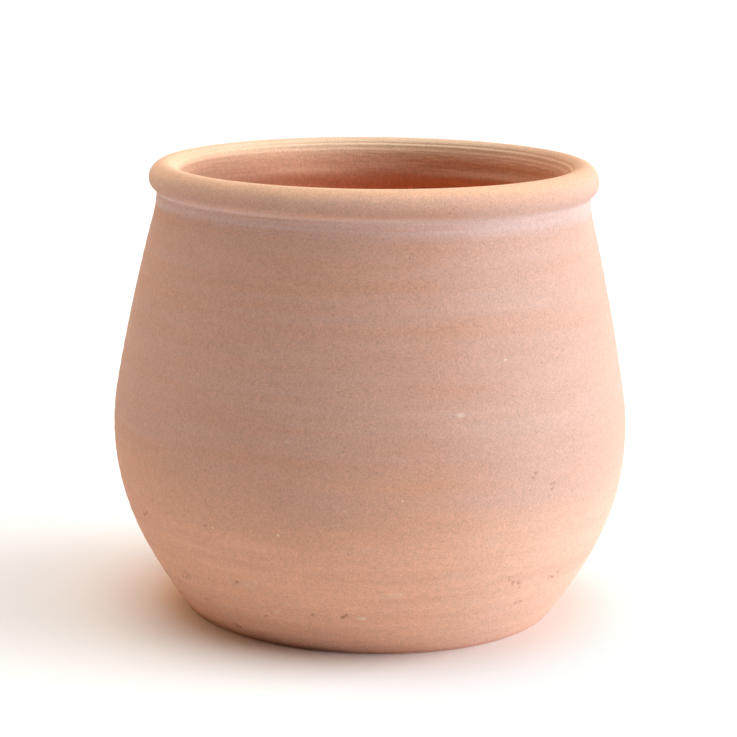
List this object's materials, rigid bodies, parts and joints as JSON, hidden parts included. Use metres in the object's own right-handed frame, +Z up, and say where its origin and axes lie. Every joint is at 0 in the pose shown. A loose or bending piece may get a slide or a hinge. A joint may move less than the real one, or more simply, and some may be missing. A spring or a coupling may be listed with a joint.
{
  "type": "flower pot",
  "caption": "Wide-bellied unglazed terracotta flower pot with a thick rolled rim, a soft neck, an open mouth and a drain hole in its flat foot.",
  "frame": {"origin": "middle of the foot, on the surface that the pot stands on", "axes": "+Z up along the pot's axis, out of its mouth; +X and +Y run across it and no side is a front"},
  "size_m": [0.2529, 0.253, 0.2215],
  "materials": {
    "terracotta": "unglazed matte fired clay with a pale lime and salt bloom"
  },
  "bodies": {
    "root": {"pot_body": "terracotta"}
  },
  "joints": []
}
